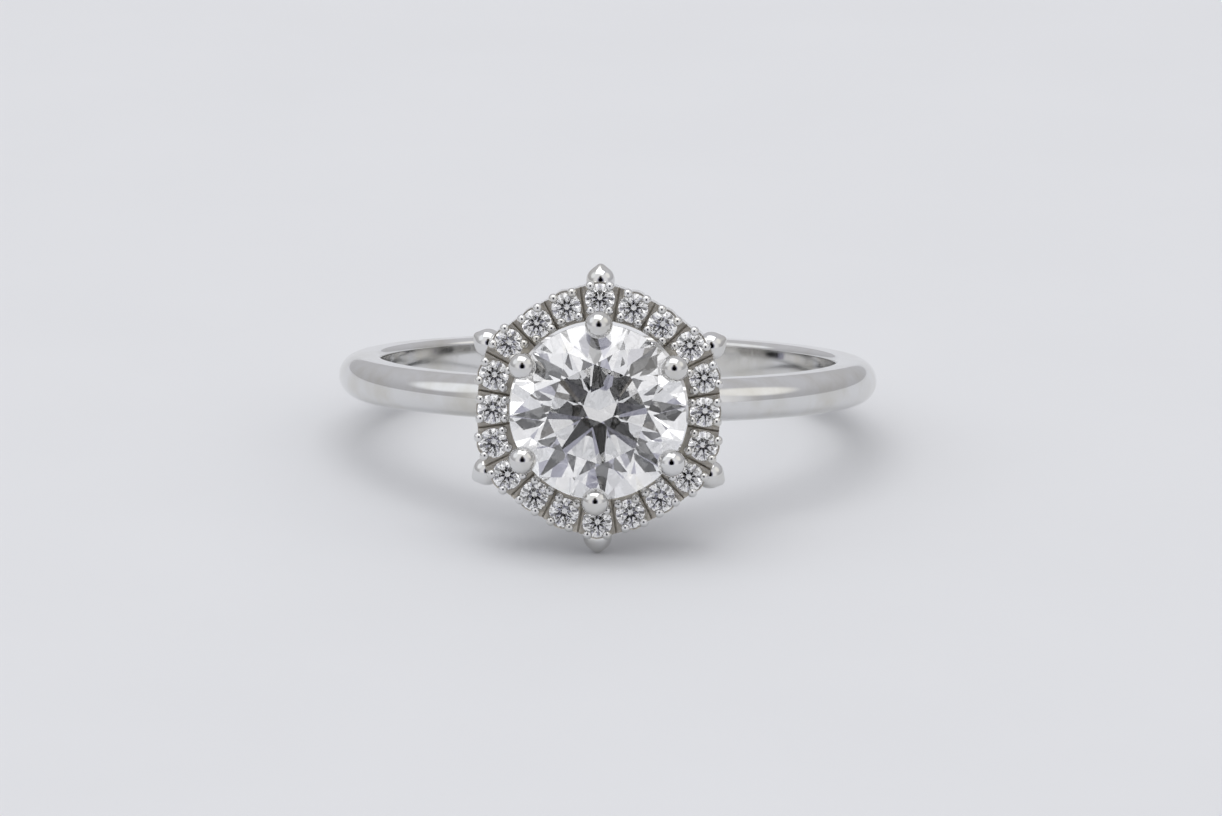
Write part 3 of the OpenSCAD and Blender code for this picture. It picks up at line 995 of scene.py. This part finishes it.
def build_room():
    """A light room: grey walls, a paler ceiling, a window, a white board, and whoever holds the camera."""
    world = bpy.data.worlds.new("Studio_Room")
    bpy.context.scene.world = world
    world.use_nodes = True
    tree = world.node_tree
    tree.nodes.clear()
    studio, finishes = settings().studio, settings().finishes
    ray = add_node(tree, "ShaderNodeTexCoord").outputs["Generated"]
    back = camera_axes()[2]
    height = add_node(tree, "ShaderNodeSeparateXYZ", None, {"Vector": ray}).outputs["Z"]
    rise = add_node(tree, "ShaderNodeMapRange", {"From Min": 0.1, "From Max": 0.7}, {"Value": height},
                    interpolation_type="SMOOTHSTEP").outputs["Result"]
    walls, ceiling = (0.50, 0.50, 0.52, 1), (0.62, 0.62, 0.65, 1)
    level = add_node(tree, "ShaderNodeMix", {"A": walls, "B": ceiling}, {"Factor": rise},
                     data_type="RGBA").outputs["Result"]
    head_height = studio.elevation + 0.40
    over_camera = (0.0, -math.cos(head_height), math.sin(head_height))
    # where each patch lies, the angles in degrees over which it fades out, and its light
    patches = [
        (back, 48, 72, (0.88, 0.88, 0.90)),                  # pale wall behind the camera
        ((-1.0, -0.25, 0.75), 14, 26, (1.02, 1.04, 1.08)),   # window on the left
        ((1.0, -0.25, 0.75), 12, 24, (1.0, 0.99, 0.97)),     # white board on the right
        (back, 24, 28, (0.32, 0.32, 0.40)),                  # whoever holds the camera, in a blue-grey shirt
        (over_camera, 7, 14, (0.08, 0.07, 0.06)),            # that person's head
        (back, 16.5, 20, (0.0, 0.0, 0.0)),                   # the camera
    ]
    for towards, inner, outer, light in patches:
        factor = patch(tree, ray, towards, inner, outer)
        level = add_node(tree, "ShaderNodeMix", {"B": (*light, 1)}, {"Factor": factor, "A": level},
                         data_type="RGBA").outputs["Result"]
    lit = add_node(tree, "ShaderNodeBackground", {"Strength": studio.room}, {"Color": level})
    plain = add_node(tree, "ShaderNodeBackground", {"Color": rgba(finishes.backdrop)})
    path = add_node(tree, "ShaderNodeLightPath")
    both = add_node(tree, "ShaderNodeMixShader", None,
                    {0: path.outputs["Is Camera Ray"], 1: lit.outputs["Background"], 2: plain.outputs["Background"]})
    add_node(tree, "ShaderNodeOutputWorld", None, {"Surface": both.outputs["Shader"]})


class RING_OT_stage(bpy.types.Operator):
    """Lay the pale floor that the ring rests on, and set the softbox, the room and the camera"""

    bl_idname = "ring.stage"
    bl_label = "Stage"

    def execute(self, context):
        studio = settings().studio
        # the ring lies on the lower petal's nose and on the back of its shank
        nose_y = -settings().stones.girdle_height + NOSE_BEHIND_GIRDLE * MM
        nose = Vector((0, nose_y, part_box("corner_petal_4")[0].z))
        heel = Vector(HEEL_AT) * MM
        tilt = math.atan2(heel.z - nose.z, heel.y - nose.y)
        below = Vector((0, 0, -FLOOR_GAP)) * MM
        floor = primitive(bpy.ops.mesh.primitive_plane_add, size=1.6, location=(0, 0, 0))
        floor.name = "Floor"
        floor.matrix_world = Matrix.Translation(nose + below) @ Matrix.Rotation(tilt, 4, "X")
        apply_place(floor)
        floor.data.materials.append(pale_card())

        clear_selection()
        bpy.ops.object.light_add(type="AREA", location=SOFTBOX_AT)
        softbox = bpy.context.active_object
        softbox.name = "Softbox"
        softbox.data.shape = "RECTANGLE"
        softbox.data.size, softbox.data.size_y = SOFTBOX_SIZE
        softbox.data.energy = studio.key
        softbox.rotation_euler = (Vector(SOFTBOX_AIM) - softbox.location).to_track_quat("-Z", "Y").to_euler()

        right, up, back = camera_axes()
        aim = Vector((studio.aim_x, 0, studio.aim_z))
        bpy.ops.object.camera_add(location=aim + back * studio.distance)
        camera = bpy.context.active_object
        camera.name = "Camera"
        camera.rotation_euler = Matrix((right, up, back)).transposed().to_euler()
        camera.data.lens = studio.lens
        camera.data.sensor_width = 36
        camera.data.clip_start = 0.01
        camera.data.clip_end = 10
        context.scene.camera = camera
        build_room()
        context.scene.view_settings.view_transform = "Standard"
        for limit in ("max_bounces", "glossy_bounces", "transmission_bounces"):
            setattr(context.scene.cycles, limit, LIGHT_TURNS)
        clear_selection()
        return {"FINISHED"}


# ---------------------------------------------------------------- add-on

BUILD_ORDER = (
    RING_OT_shank, RING_OT_head_base, RING_OT_gallery_rail, RING_OT_halo_plate, RING_OT_beads, RING_OT_claws,
    RING_OT_petals, RING_OT_centre_stone, RING_OT_halo_stones, RING_OT_stage,
)


class RING_PT_build(bpy.types.Panel):
    """Lists the operators in the order they are run"""

    bl_idname = "RING_PT_build"
    bl_label = "Halo ring"
    bl_space_type = "VIEW_3D"
    bl_region_type = "UI"
    bl_category = "Ring"

    def draw(self, context):
        for step in BUILD_ORDER:
            self.layout.operator(step.bl_idname)


CLASSES = (ShankSizes, StoneSizes, HeadSizes, Finishes, Studio, RingSettings, *BUILD_ORDER, RING_PT_build)


def register():
    for item in CLASSES:
        bpy.utils.register_class(item)
    bpy.types.Scene.halo_ring = PointerProperty(type=RingSettings)


def unregister():
    del bpy.types.Scene.halo_ring
    for item in reversed(CLASSES):
        bpy.utils.unregister_class(item)


def main():
    register()
    for step in BUILD_ORDER:
        group, name = step.bl_idname.split(".")
        if getattr(getattr(bpy.ops, group), name)() != {"FINISHED"}:
            raise RuntimeError(f"{step.bl_label} did not finish")


if __name__ == "__main__":
    main()
